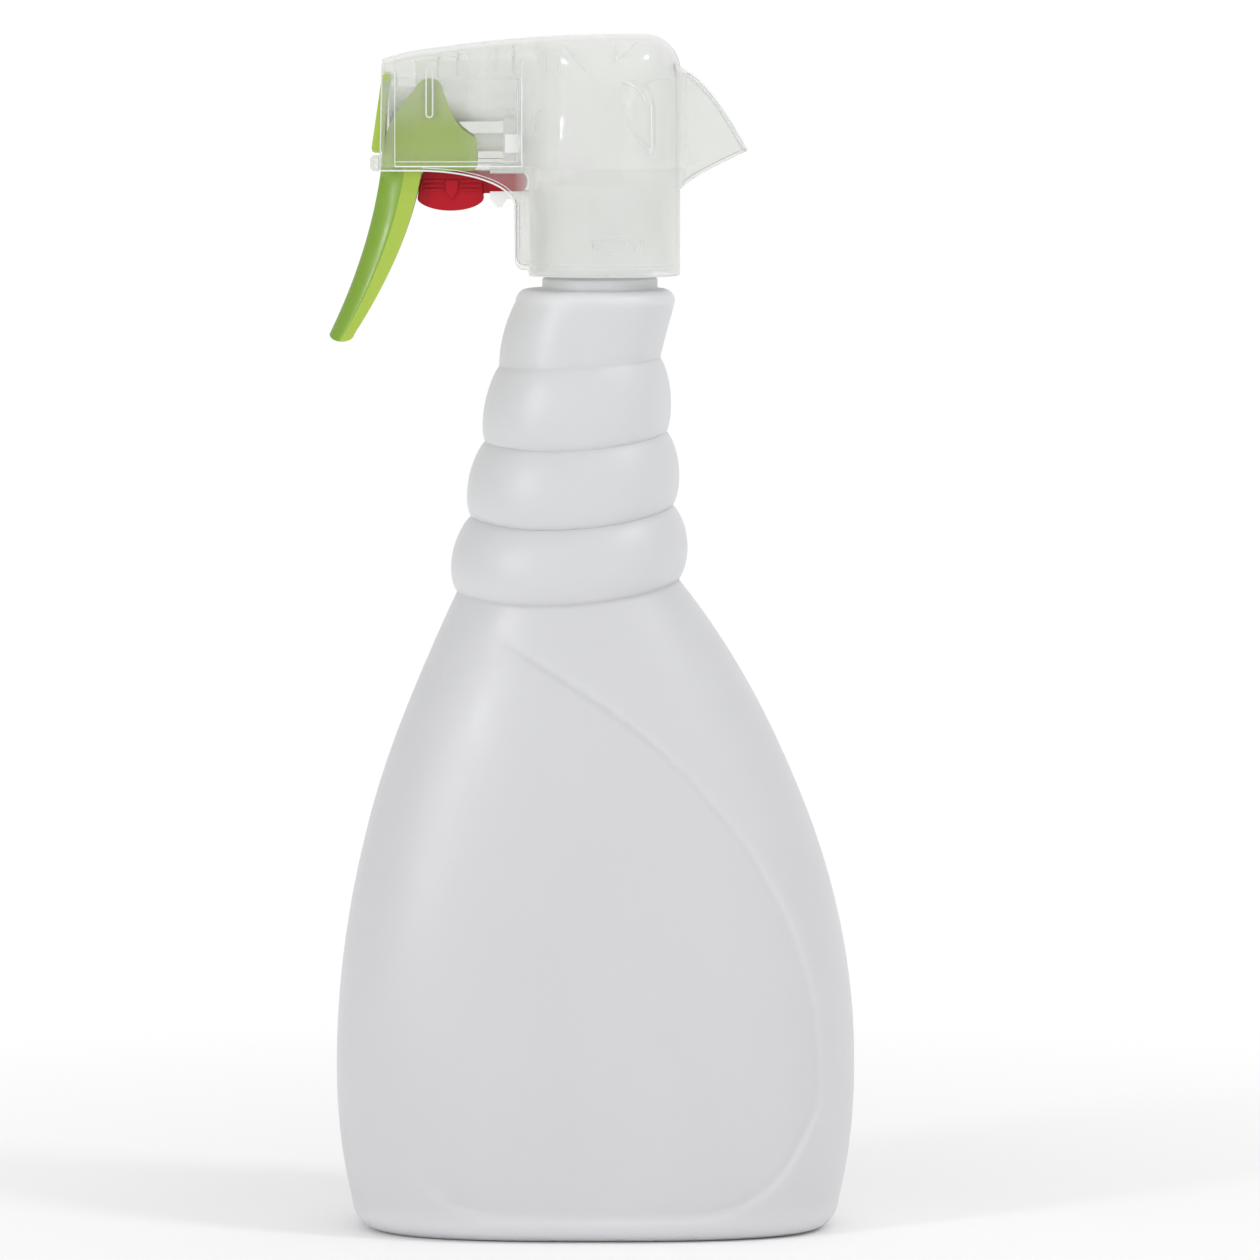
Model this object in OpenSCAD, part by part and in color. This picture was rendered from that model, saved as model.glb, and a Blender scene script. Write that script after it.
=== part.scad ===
// Hand mister: a one litre hand sprayer with a trigger pump head.
// Origin: middle of the bottle's base, on the axis of the neck. +Z is up, and it sprays towards -X.

/* [Bottle] */
// Half the width of the bottle on the spray side, at its widest
body_front = 63.4; // [55:0.1:70]
// Half the width of the bottle on the rear side, at its widest
body_rear = 61.2; // [55:0.1:70]
// Half the depth of the bottle, side to side, at its deepest
body_side = 36; // [30:0.5:40]
// Height of the widest level
wide_z = 40; // [30:1:50]
// Height where the grip starts
grip_z = 155; // [150:0.5:160]
// Height of one bulging tier of the grip
tier_h = 17.8; // [16:0.1:18]
// Height of the shoulder under the neck
shoulder_z = 226; // [225.5:0.1:226.5]
// Wall of the bottle
wall = 1.2; // [0.8:0.1:1.5]
// Depth of the sunk label panel
panel_sink = 0.8; // [0:0.1:1]

/* [Neck and closure] */
// Top of the neck
neck_top = 246; // [245:0.1:246]
// Radius of the neck under its thread
neck_r = 12.55; // [12:0.05:12.6]
// Radius over the neck's thread
thread_r = 13.65; // [13.4:0.05:13.65]
// Rise of the thread in one turn
thread_pitch = 4.23; // [4:0.01:4.3]
// Outside radius of the closure nut without its ribs
nut_r = 14.7; // [14.6:0.1:14.8]

/* [Pump] */
// Height of the pump cylinder's axis
pump_z = 261; // [260.8:0.1:261.2]
// Bore radius of the pump cylinder
bore_r = 5.2; // [5:0.05:5.25]
// Height of the axis of the discharge barrel and nozzle
jet_z = 269.5; // [269.4:0.1:269.8]
// Outside radius of the discharge barrel
barrel_r = 3.6; // [3.2:0.1:3.6]

/* [Trigger] */
// Trigger pivot, distance in front of the neck axis
pivot_x = 40.6; // [40:0.1:41]
// Trigger pivot height
pivot_z = 273.1; // [272.8:0.1:273.4]
// Half the width of the trigger
trigger_half = 8; // [7.8:0.1:8.2]

/* [Shroud] */
// Half the width of the shroud round the barrel
barrel_half = 11; // [10.8:0.1:11.5]
// Half the width of the shroud's skirt
skirt_half = 17; // [16.8:0.1:18]
// Wall of the shroud
shroud_wall = 1.2; // [1:0.1:1.3]
// Bottom of the shroud's skirt
skirt_z = 229.4; // [229.3:0.1:230]

/* [Hidden] */
$fn = 48;
eps = 0.01;            // overlap that joins two solids of one piece
run_gap = 0.05;        // radial clearance of a running fit
around = 36;           // points round the bottle
tiers = 3;             // bulging tiers; a fourth, plain one carries the shoulder
foot_r = 7;            // radius of the bottle's bottom edge
corner_r = 3;          // radius of the shoulder's edge
bead_r = 13.9;         // bead under the thread
mouth_r = 10.4;        // bore of the neck
thread_z = 235;        // middle of the neck's thread where it starts
gasket_t = 1.2;
flange_z = neck_top + gasket_t;
flange_t = 2;
nut_z = 231;           // open end of the closure nut
nut_top = flange_z + flange_t + 1.8;
collar_r = 10.6;       // pump collar that passes through the nut
column_top = 273.2;    // top of the pump's upright column
jet_front = -47.4;     // front end of the discharge barrel
seat_z = 246.4;        // top of the inlet valve's seat
seat_r = 1.5;          // bore of that seat
ball_r = 2;
tube_r = 2.8;
trigger_stud_r = 1.9;  // studs the trigger turns on
pump_mouth = -23;      // open end of the pump cylinder
pump_back = -5;        // inside of the cylinder's closed end
cup_back = -15.6;      // rear of the piston's cup
flap_x = -50.8;        // hinge of the nozzle flap
flap_z = 276.4;
flap_stud_r = 1.1;     // studs the flap turns on
lock_z = 248.9;        // underside of the lock's bar
lock_top = 254.2;
lock_half = 3;

function mix(a, b, t) = a + (b - a) * t;
function clamp01(t) = max(0, min(1, t));
function ease(t) = let (u = clamp01(t)) u * u * (3 - 2 * u);

// ---- Bottle: rings of points, each at one level ----

// Half sizes of the body below the grip: [front, rear, side]
function body_size(z) = z > wide_z
    ? let (u = (z - wide_z) / (grip_z - wide_z))
        [mix(body_front, 34.2, pow(u, 1.93)), mix(body_rear, 18.8, pow(u, 2.05)),
         mix(body_side, 23, pow(u, 1.7))]
    : let (u = pow((wide_z - z) / wide_z, 2.2))
        [body_front - 5.6 * u, body_rear - 5.6 * u, body_side - 4 * u];

// Half sizes at the crease under tier i
function crease_size(i) = [34.2 - 3.35 * i, 18.8 - 1.45 * i, 23 - 1.6 * i];

// Half sizes inside tier i, at a fraction u of its height
function tier_size(i, u) = let (bulge = (2.9 - 0.55 * i) * pow(4 * u * (1 - u), 0.75))
    mix(crease_size(i), crease_size(i + 1), u) + [bulge, bulge, bulge];

// Half sizes of the plain top tier, which spreads to the shoulder
function top_size(u) = mix(crease_size(tiers), [20.2, 18, 17.4], u) + [4 * u * (1 - u), 0, 0];

// The grip's creases lean towards the spray side and sag at the sides of the bottle
function lean(z) = 0.055 * ease((z - 100) / 50) * (1 - ease((z - grip_z - tier_h * tiers) / tier_h));
function sag(z) = 3 * ease((z - 110) / 45) * ease((218 - z) / 42);

// How deep the label panel is sunk at a point of the side: 1 inside, 0 outside
function panel_edge(z) = 54 - 71 * pow(max(0, (z - 36) / 107), 2.25);
function panel_floor(x) = 5 + 31 * pow(abs(x) / 54, 5);
function panel(x, z) = ease((panel_edge(z) - x) / 2) * ease((z - panel_floor(x)) / 2)
    * ease((x + 52) / 25) * ease((150 - z) / 12);

// One ring: level z, half sizes s, wall inset t, squareness n
function ring(z, s, t, n) = [for (k = [0:around - 1])
    let (a = 360 * k / around, c = cos(a), d = sin(a),
         half_x = (s[0] + s[1]) / 2 - t, mid = (s[1] - s[0]) / 2,
         x = mid + half_x * sign(c) * pow(abs(c), 2 / n),
         y = (s[2] - t) * sign(d) * pow(abs(d), 2 / n),
         v = y / s[2],
         sink = panel_sink * panel(x, z) * ease((abs(v) - 0.5) / 0.3))
    [x, y - sign(d) * sink, z + lean(z) * (x - mid) - sag(z) * v * v]];

function squareness(z) = mix(2.7, 2.15, ease((z - wide_z) / 115));
function round_ring(z, r) = [for (k = [0:around - 1]) let (a = 360 * k / around) [r * cos(a), r * sin(a), z]];
function inset(s, t) = [s[0] - t, s[1] - t, s[2] - t];

// Rings from the base to the shoulder, with the wall inset t; step skips rings on the inside
function shell_rings(t, step) =
    [for (a = [0:22.5 * step:89])
        ring(t + foot_r * (1 - cos(a)), inset(body_size(foot_r), foot_r * (1 - sin(a))), t, 2.7),
     for (k = [0:step:17]) let (z = mix(foot_r + t, grip_z, k / 18))
        ring(z, body_size(z), t, squareness(z)),
     for (i = [0:tiers - 1], k = [0:step:7]) let (z = grip_z + tier_h * (i + k / 8))
        ring(z, tier_size(i, k / 8), t, squareness(z)),
     for (k = [0:step:4]) let (z = mix(grip_z + tier_h * tiers, shoulder_z - corner_r, k / 4))
        ring(z, top_size(k / 4), t, 2.15),
     for (a = [30:30 * step:90])
        ring(shoulder_z - t - corner_r * (1 - sin(a)),
            inset(top_size(1), corner_r * (1 - cos(a))), t, 2.15)];

function reversed(v) = [for (i = [len(v) - 1:-1:0]) v[i]];
function joined(v) = [for (r = v, p = r) p];

module shell_from(rings, start, end) {
    count = len(rings);
    last = count * around + 1;
    polyhedron(
        points = concat([start], joined(rings), [end]),
        faces = concat(
            [for (k = [0:around - 1]) [0, 1 + k, 1 + (k + 1) % around]],
            [for (i = [0:count - 2], k = [0:around - 1], half = [0, 1])
                let (a = 1 + i * around + k, b = 1 + i * around + (k + 1) % around)
                half == 0 ? [a, a + around, b] : [b, a + around, b + around]],
            [for (k = [0:around - 1]) let (a = 1 + (count - 1) * around)
                [a + k, last, a + (k + 1) % around]]),
        convexity = 8);
}

// A thread ridge on a helix. Its section is a trapezium from radius r_root to r_crest.
module thread_ridge(r_root, r_crest, z0, turns, root_w, crest_w) {
    steps = 28 * turns;
    section = [[r_root, -root_w / 2], [r_crest, -crest_w / 2],
        [r_crest, crest_w / 2], [r_root, root_w / 2]];
    polyhedron(
        points = [for (k = [0:steps], p = section) let (a = 360 * turns * k / steps)
            [p[0] * cos(a), p[0] * sin(a), z0 + p[1] + thread_pitch * turns * k / steps]],
        faces = concat([[0, 1, 2, 3]],
            [for (k = [0:steps - 1], s = [0:3], half = [0, 1])
                let (a = 4 * k + s, b = 4 * k + (s + 1) % 4)
                half == 0 ? [a, a + 4, b] : [b, a + 4, b + 4]],
            [[4 * steps + 3, 4 * steps + 2, 4 * steps + 1, 4 * steps]]),
        convexity = 8);
}

module bottle() {
    color("#dde1e4") {
        outer = shell_rings(0, 1);
        inner = shell_rings(wall, 2);
        shell_from(
            concat(outer, [round_ring(shoulder_z, 13)], [round_ring(shoulder_z, 11.5)],
                [round_ring(shoulder_z - wall, 11.5)], reversed(inner)),
            [0, 0, 0], [0, 0, wall]);
        rotate_extrude() polygon([
            [mouth_r, shoulder_z - 1], [neck_r, shoulder_z - 1], [neck_r, shoulder_z - 0.5],
            [bead_r, shoulder_z - 0.5], [bead_r, shoulder_z + 2.6], [neck_r, shoulder_z + 3],
            [neck_r, neck_top], [mouth_r, neck_top]]);
        thread_ridge(neck_r - 0.25, thread_r, thread_z, 1, 2.3, 1.2);
    }
}

// ---- Closure ----

module closure_nut() {
    ribs = 36;
    rib_proud = 0.3;
    inner_r = thread_r + 0.2;
    color("#eceeee") {
        translate([0, 0, nut_z]) difference() {
            cylinder(r = nut_r, h = nut_top - nut_z, $fn = 96);
            translate([0, 0, -eps])
                cylinder(r = inner_r, h = flange_z + flange_t - nut_z + eps, $fn = 96);
            cylinder(r = collar_r + 0.3, h = 40, $fn = 96);
        }
        for (k = [0:ribs - 1]) rotate(k * 360 / ribs)
            translate([nut_r - 0.2, -0.4, nut_z + 1]) cube([rib_proud + 0.2, 0.8, 14]);
        // inner thread, half a pitch under the neck's
        thread_ridge(inner_r + 0.25, neck_r + 0.3, thread_z - thread_pitch / 2, 1, 2.2, 1.2);
    }
}

module bottle_gasket() {
    color("#f4f4f0") translate([0, 0, neck_top]) difference() {
        cylinder(r = 12.9, h = gasket_t);
        translate([0, 0, -1]) cylinder(r = 8.8, h = 4);
    }
}

// ---- Pump ----

// A cylinder along X from x0 to x1 at height z
module along_x(x0, x1, z, r) {
    translate([x0, 0, z]) rotate([0, 90, 0]) cylinder(r = r, h = x1 - x0);
}

module lock_guide() {
    lip = 0.65;
    thick = 1.2;
    length = 10.6;
    out = lock_half + 1.1;
    inner = lock_top - lock_z + 0.3;
    translate([-26.2, 0, lock_z - 0.15]) {
        difference() {
            translate([0, -out, -thick]) cube([length, 2 * out, inner + 2 * thick]);
            // channel of the bar, closed at its rear end
            translate([-eps, -lock_half - 0.1, 0]) cube([length - 1.3, 2 * lock_half + 0.2, inner]);
            // open sides between the lips
            translate([-eps, -out - 1, lip]) cube([length - 1.3, 2 * out + 2, inner - 2 * lip]);
        }
        // hook under the front of the lower shelf
        translate([0, out, -thick]) rotate([90, 0, 0]) linear_extrude(2 * out)
            polygon([[0, 0.5], [0, 0], [1.6, -2], [2.8, -2], [4, 0], [4, 0.5]]);
    }
}

module pump_body() {
    clip_half = barrel_half - shroud_wall;
    color("#eef0ee") difference() {
        union() {
            translate([0, 0, 240]) cylinder(r = 7, h = flange_z - 240 + eps);
            translate([0, 0, flange_z]) cylinder(r = 13.3, h = flange_t);
            translate([0, 0, flange_z]) cylinder(r = collar_r, h = 5);
            translate([0, 0, flange_z]) cylinder(r = 5.6, h = column_top - flange_z);
            along_x(pump_mouth, 3, pump_z, bore_r + 1.2);
            along_x(jet_front, 4, jet_z, barrel_r);
            // web between the cylinder and the barrel
            translate([pump_mouth, -0.8, pump_z]) cube([20, 1.6, jet_z - pump_z]);
            // saddle that carries the trigger's studs
            translate([-pivot_x - 3.2, -6.1, jet_z - 1]) cube([6.4, 12.2, pivot_z - jet_z + 4]);
            translate([-pivot_x, 0, pivot_z]) rotate([90, 0, 0])
                cylinder(r = trigger_stud_r, h = 2 * trigger_half - 0.2, center = true);
            // fin on top of the barrel
            translate([-44, -0.8, jet_z]) cube([29, 1.6, 11]);
            lock_guide();
            // clips that hold the shroud
            for (side = [-1, 1]) translate([-20.5, side * (clip_half + 5.8) / 2, pump_z])
                cube([4, clip_half - 5.8, 4.4], center = true);
        }
        // pump cylinder
        along_x(pump_mouth - 1, pump_back, pump_z, bore_r);
        // passage from the inlet valve up to the barrel, and the port into the cylinder
        translate([0, 0, 239]) cylinder(r = 4.4, h = seat_z - 239);
        translate([0, 0, seat_z - eps]) cylinder(r = 2.5, h = 4.6);
        translate([0, 0, seat_z]) cylinder(r = 1.6, h = jet_z + 2 - seat_z);
        translate([0, 0, column_top - 1.7]) cylinder(r = 2.6, h = 5);
        along_x(pump_back - 1, 0, pump_z, 1.2);
        // barrel: narrow behind the outlet valve, wide in front of it
        along_x(-39, 0, jet_z, 1.3);
        along_x(jet_front - 1, -38.6, jet_z, 2.3);
        // vent through the flange into the bottle
        translate([8, 0, flange_z - 1]) cylinder(r = 0.5, h = 8);
    }
}

module passage_plug() {
    color("#e4e6e4") {
        translate([0, 0, column_top - 1.6]) cylinder(r = 2.6, h = 1.6 + eps);
        translate([0, 0, column_top]) cylinder(r = 3.6, h = 1);
    }
}

module tube_retainer() {
    color("#f2f2f0") difference() {
        translate([0, 0, 234]) {
            cylinder(r = 4.4, h = seat_z - 234);
            cylinder(r = 5.4, h = 5.9);
        }
        translate([0, 0, 233]) cylinder(r = tube_r, h = 10);
        translate([0, 0, 242]) cylinder(r = seat_r, h = 6);
    }
}

module inlet_ball() {
    color("#c8ccd0") translate([0, 0, seat_z + sqrt(ball_r * ball_r - seat_r * seat_r) + eps])
        sphere(r = ball_r);
}

module dip_tube() {
    color("#f0f2f2") translate([0, 0, 8]) difference() {
        cylinder(r = tube_r, h = 235);
        translate([0, 0, -1]) cylinder(r = tube_r - 0.8, h = 237);
    }
}

module tube_filter() {
    color("#e6e8e6") translate([0, 0, 6.6]) difference() {
        cylinder(r = 3.9, h = 9);
        translate([0, 0, 1.4]) cylinder(r = tube_r, h = 9);
        for (k = [0:3]) rotate(k * 90) translate([1.6, -0.4, -1]) cube([1.1, 0.8, 3]);
    }
}

module piston() {
    front = -29.8;
    color("#e8eae8") {
        along_x(front, -21, pump_z, 2.2);
        along_x(-21.4, -18, pump_z, bore_r - run_gap);
        along_x(-18.2, cup_back, pump_z, 2);
    }
}

module piston_cup() {
    color("#f6f6f2") difference() {
        along_x(-18, cup_back, pump_z, bore_r - run_gap);
        along_x(-19, -15, pump_z, 2);
        // hollow lip that faces the pressure
        difference() {
            along_x(cup_back - 1.4, cup_back + 1, pump_z, bore_r - 0.7);
            along_x(cup_back - 2, cup_back + 2, pump_z, 2.9);
        }
    }
}

// A coil along X from x0 to x1, made of short round links that follow the helix
module coil(x0, x1, z, coil_r, wire_r, turns) {
    per_turn = 12;
    steps = turns * per_turn;
    sides = 6;
    points = [for (k = [0:steps], s = [0:sides - 1])
        let (a = 360 * k / per_turn, b = 360 * s / sides, r = coil_r + wire_r * cos(b))
        [mix(x0 + wire_r, x1 - wire_r, k / steps) + wire_r * sin(b), r * cos(a), z + r * sin(a)]];
    polyhedron(points = points,
        faces = concat([[for (s = [0:sides - 1]) s]],
            [for (k = [0:steps - 1], s = [0:sides - 1], half = [0, 1])
                let (a = sides * k + s, b = sides * k + (s + 1) % sides)
                half == 0 ? [a, a + sides, b] : [b, a + sides, b + sides]],
            [[for (s = [sides - 1:-1:0]) sides * steps + s]]),
        convexity = 10);
}

module return_spring() {
    color("#b9bdc2") coil(cup_back + 0.1, pump_back - 0.05, pump_z, 3.7, 0.4, 6);
}

module outlet_valve() {
    color("#dcdedc") {
        along_x(-40.6, -39.05, jet_z, 2.1);
        along_x(-42.6, -40.5, jet_z, 0.9);
    }
}

module outlet_spring() {
    color("#b9bdc2") coil(-44.3, -40.7, jet_z, 1.5, 0.25, 4);
}

module swirl_plug() {
    color("#f0f0ee") difference() {
        along_x(jet_front, -44.4, jet_z, 2.3);
        for (k = [0:2]) translate([0, 0, jet_z]) rotate([k * 120, 0, 0])
            translate([jet_front - 1, -0.4, 1.6]) cube([5, 0.8, 1.2]);
    }
}

module nozzle_seal() {
    color("#3a3d40") difference() {
        along_x(jet_front - 0.6, jet_front, jet_z, barrel_r - 0.1);
        along_x(jet_front - 2, jet_front + 1, jet_z, 2.4);
    }
}

module nozzle_tip() {
    wall_x = jet_front - 0.6;
    color("#f4f5f4") difference() {
        along_x(wall_x - 2.2, -pivot_x - 3.5, jet_z, 4.8);
        along_x(wall_x, -42, jet_z, barrel_r);
        along_x(wall_x - 0.8, wall_x + 1, jet_z, 1.6);
        along_x(wall_x - 4, wall_x, jet_z, 0.4);
        // dished front face
        translate([wall_x - 3.4, 0, jet_z]) sphere(r = 2.4);
    }
}

// The green plate over the nozzle. It hangs on two studs at its top edge.
module nozzle_flap() {
    half = barrel_half - shroud_wall - 0.3;
    slope = 2.7 / 17.8;
    low = 258.8;
    color("#a6c544") {
        translate([0, half, 0]) rotate([90, 0, 0]) linear_extrude(2 * half) polygon([
            [flap_x - 1, flap_z + 0.6], [flap_x - 1 - slope * 16.4, low + 1.1],
            [flap_x - 0.8 - slope * 16.4, low + 0.3], [flap_x - slope * 17, low],
            [flap_x + 0.9 - slope * 17, low], [flap_x + 0.9, flap_z]]);
        translate([flap_x, 0, flap_z]) rotate([90, 0, 0]) {
            cylinder(r = 1.5, h = 2 * half, center = true);
            cylinder(r = flap_stud_r, h = 2 * half + 2.4, center = true);
        }
    }
}

// ---- Trigger ----

// Front and rear edges of the finger blade at a drop t under the shroud's rail
rail_z = 254.4;
blade_drop = 39;
function blade_front(t) = -52.2 - 0.145 * t - 0.00443 * t * t;
function blade_rear(t) = -42.4 - 0.1765 * t - 0.00613 * t * t;

// The whole blade, or only its front web when a thickness is given
module blade_outline(thick) {
    steps = 10;
    polygon(concat(
        [for (k = [0:steps]) let (t = blade_drop * k / steps) [blade_front(t), rail_z - t]],
        // rounded tip
        [for (a = [200:35:340])
            [blade_front(blade_drop) + 2.3 + 2.2 * cos(a), rail_z - blade_drop + 0.4 + 2 * sin(a)]],
        [for (k = [steps:-1:0]) let (t = blade_drop * k / steps)
            [thick > 0 ? blade_front(t) + thick : blade_rear(t), rail_z - t]]));
}

// The side cheek inside the shroud, up to the round eye at the pivot
module cheek_outline() {
    eye_r = 3.4;
    polygon(concat(
        [[-52.2, rail_z], [-51.2, 262], [-48.7, 267.8], [-45.6, 271.6]],
        [for (a = [150:-20:10]) [-pivot_x + eye_r * cos(a), pivot_z + eye_r * sin(a)]],
        [[-36, 270.4], [-34.4, 266.4], [-31.6, 263.6], [-29.3, 262], [-29.3, rail_z + 0.6],
         [-30, rail_z]]));
}

module trigger() {
    cheek_t = 1.5;
    web_t = 1.5;
    module slab(y0, y1) {
        translate([0, y1, 0]) rotate([90, 0, 0]) linear_extrude(y1 - y0) children();
    }
    color("#a6c544") difference() {
        union() {
            for (y = [-trigger_half, trigger_half - cheek_t]) {
                slab(y, y + cheek_t) blade_outline(0);
                slab(y, y + cheek_t) cheek_outline();
            }
            slab(-trigger_half, trigger_half) blade_outline(web_t);
            // front web goes on up inside the shroud
            slab(-trigger_half, trigger_half)
                polygon([[-52.2, rail_z - eps], [-51.2, 262], [-49.7, 262], [-50.7, rail_z - eps]]);
            // bar that pushes the piston
            slab(-trigger_half, trigger_half)
                polygon([[-31.4, 256.4], [-31.4, 261.6], [-29.9, 261.6], [-29.9, 256.4]]);
        }
        translate([-pivot_x, 0, pivot_z]) rotate([90, 0, 0])
            cylinder(r = trigger_stud_r + run_gap, h = 30, center = true);
    }
}

// ---- Trigger lock ----

module trigger_lock() {
    pad_half = 4.8;
    pad_mid = -35.6;
    rib_proud = 0.35;
    color("#c8192e") {
        // finger pad: a shallow bowl under a flat top
        difference() {
            translate([0, pad_half, 0]) rotate([90, 0, 0]) linear_extrude(2 * pad_half) polygon(concat(
                [[-42.2, lock_top], [-43.2, 249.6]],
                [for (a = [210:15:330]) [pad_mid + 8.2 * cos(a), 248.4 + 3.6 * sin(a)]],
                [[-28.2, 250], [-28.2, lock_top]]));
            for (y = [-1, 1]) translate([pad_mid, y * (pad_half + 0.9), 252.6]) rotate([y * 45, 0, 0])
                cube([6, 1.2, 1.2], center = true);
        }
        // small ribs on both sides of the pad
        for (y = [-1, 1], x = [-42.1, -33.3], k = [0:2])
            translate([x, y > 0 ? pad_half - eps : -pad_half - rib_proud, 249.5 + 1.15 * k])
                cube([3.8, rib_proud + eps, 0.5]);
        // bar that slides in the guide, with a full round end
        translate([-28.4, -lock_half, lock_z]) cube([8.4, 2 * lock_half, lock_top - lock_z]);
        translate([-20, 0, (lock_z + lock_top) / 2]) rotate([90, 0, 0])
            cylinder(r = (lock_top - lock_z) / 2, h = 2 * lock_half, center = true);
    }
}

// ---- Shroud ----

// Top line of the shroud, seen from the side
function top_line(x) = 286.6 - 0.0016 * pow(max(0, 6 - x), 2) - 0.6 * ease((-x - 45) / 8);

// Outline round the barrel, seen from the side, with the wall inset t
module barrel_side(t) {
    polygon(concat(
        [for (x = [-51.8:4.2:9]) [x + (x < -51 ? -t : 0), top_line(x) - t]],
        [[9, rail_z - 1], [-10, rail_z - 1], [-10, skirt_z + 1.6]],
        // rounded foot of the strip in front of the skirt
        [for (a = [0:30:90]) [-18.2 + t - 2 * sin(a), skirt_z + 3.6 - 2 * cos(a)]],
        // arch behind the trigger
        [for (a = [0:15:90]) [-20.2 + t - 22 * (1 - cos(a)), 246 + 8.4 * sin(a)]],
        [[-52.4 - t, rail_z]]));
}

// Outline of the column over the neck, seen from the side
module column_side(t) {
    polygon(concat(
        [[-16.8 + t, skirt_z], [-16.8 + t, 284 - t]],
        [for (x = [-14:4:6]) [x, top_line(x) - t]],
        [for (a = [90:-15:0]) [19.2 - 8.6 + (8.6 - t) * cos(a), 286.4 - 8.6 + (8.6 - t) * sin(a)]],
        [[19.2 - t, skirt_z]]));
}

// Plan of the column
module column_plan(t) {
    n = 2.6;
    polygon([for (a = [0:10:350]) [1.2 + (18 - t) * sign(cos(a)) * pow(abs(cos(a)), 2 / n),
        (skirt_half - t) * sign(sin(a)) * pow(abs(sin(a)), 2 / n)]]);
}

// Top and bottom lines of the tail, seen from the side
function tail_top(x) = 278 - 18.8 * pow(max(0, (x - 20.4) / 14.9), 1.45);
function tail_low(x) = 250 + 9.2 * pow(max(0, (x - 19.2) / 16.1), 0.78);

// Outline of the tail with the wall inset t. The hollow stops short of the solid tip.
module tail_side(t) {
    steps = 7;
    reach = 35.3 - 20.4 - 2.2 * t;
    polygon(concat(
        [[12, 283 - t], [18.2, 280.8 - t]],
        [for (k = [0:steps]) let (x = 20.4 + reach * k / steps) [x, tail_top(x) - t]],
        [for (k = [steps - 1:-1:0]) let (x = 19.2 + (reach + 1.2) * k / steps) [x, tail_low(x) + t]],
        [[12, 250 + t]]));
}

module slab_y(half) {
    translate([0, half, 0]) rotate([90, 0, 0]) linear_extrude(2 * half) children();
}

module shroud_space(t) {
    slab_y(barrel_half - t) barrel_side(t);
    intersection() {
        translate([0, 0, skirt_z - 1]) linear_extrude(70) column_plan(t);
        slab_y(30) column_side(t);
    }
}

module shroud() {
    w = shroud_wall;
    inside = barrel_half - w;
    color("#e9eeec", 0.6) {
        difference() {
            union() {
                shroud_space(0);
                slab_y(9) tail_side(0);
            }
            shroud_space(w);
            // open underside of the barrel, from the chin back to the column
            translate([-60, -inside, 225]) cube([44, 2 * inside, 40]);
            // open bottom of the skirt
            intersection() {
                translate([0, 0, skirt_z - 2]) linear_extrude(20) column_plan(w);
                translate([-30, -30, skirt_z - 2]) cube([60, 60, 20]);
            }
            // hollow of the tail
            slab_y(9 - w) intersection() {
                tail_side(w);
                translate([19.2, 240]) square([30, 60]);
            }
            // sockets of the flap's studs
            translate([flap_x, 0, flap_z]) rotate([90, 0, 0])
                cylinder(r = flap_stud_r + run_gap, h = 2 * inside + 2, center = true);
        }
        // chin under the nozzle
        difference() {
            translate([-54.9, -barrel_half, rail_z]) cube([3.4, 2 * barrel_half, 3.2]);
            translate([-52.7, -inside, rail_z - 1]) cube([4, 2 * inside, 6]);
        }
        // ribs that keep the trigger on its studs
        for (y = [-inside, inside - 0.9], x = [-pivot_x - 1.2, -pivot_x + 0.6])
            translate([x, y, 268]) cube([0.6, 0.9, 13.5]);
    }
}

bottle();
closure_nut();
bottle_gasket();
pump_body();
passage_plug();
tube_retainer();
inlet_ball();
dip_tube();
tube_filter();
piston();
piston_cup();
return_spring();
trigger();
outlet_valve();
outlet_spring();
swirl_plug();
nozzle_seal();
nozzle_tip();
nozzle_flap();
trigger_lock();
shroud();
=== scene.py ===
"""Hand mister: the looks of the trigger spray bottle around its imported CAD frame."""
import math

import bmesh
import bpy
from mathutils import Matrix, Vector


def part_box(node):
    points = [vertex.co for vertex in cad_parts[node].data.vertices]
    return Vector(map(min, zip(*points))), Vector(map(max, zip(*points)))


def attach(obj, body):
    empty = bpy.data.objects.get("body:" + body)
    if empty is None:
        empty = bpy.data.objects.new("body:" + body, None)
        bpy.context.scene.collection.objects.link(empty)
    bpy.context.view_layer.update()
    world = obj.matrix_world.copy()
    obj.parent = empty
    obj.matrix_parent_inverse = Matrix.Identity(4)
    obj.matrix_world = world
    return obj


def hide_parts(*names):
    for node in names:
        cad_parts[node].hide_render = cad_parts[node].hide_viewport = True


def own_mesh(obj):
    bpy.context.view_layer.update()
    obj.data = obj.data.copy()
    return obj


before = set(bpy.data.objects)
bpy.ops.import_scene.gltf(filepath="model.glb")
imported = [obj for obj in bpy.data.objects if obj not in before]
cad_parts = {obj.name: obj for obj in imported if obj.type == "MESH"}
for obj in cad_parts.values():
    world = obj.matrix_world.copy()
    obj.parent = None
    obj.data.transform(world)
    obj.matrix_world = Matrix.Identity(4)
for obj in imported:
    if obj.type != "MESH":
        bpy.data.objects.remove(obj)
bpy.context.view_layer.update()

MM = 0.001  # shapes below are worked out in millimetres

# ---------------------------------------------------------------- sizes, from the frame


def low(node):
    """Lowest corner of a CAD node, in millimetres."""
    return Vector(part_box(node)[0]) / MM


def high(node):
    """Highest corner of a CAD node, in millimetres."""
    return Vector(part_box(node)[1]) / MM


BODY_FRONT = -low("bottle").x
BODY_REAR = high("bottle").x
NECK_TOP = high("bottle").z
SHOULDER_Z = NECK_TOP - 20
SHROUD_TOP = high("shroud").z
SKIRT_Z = low("shroud").z
RAIL_Z = SKIRT_Z + 25             # foot of the shroud's barrel
PIVOT = Vector((-40.6, 0, 273.1))  # axis of the trigger's studs


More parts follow.
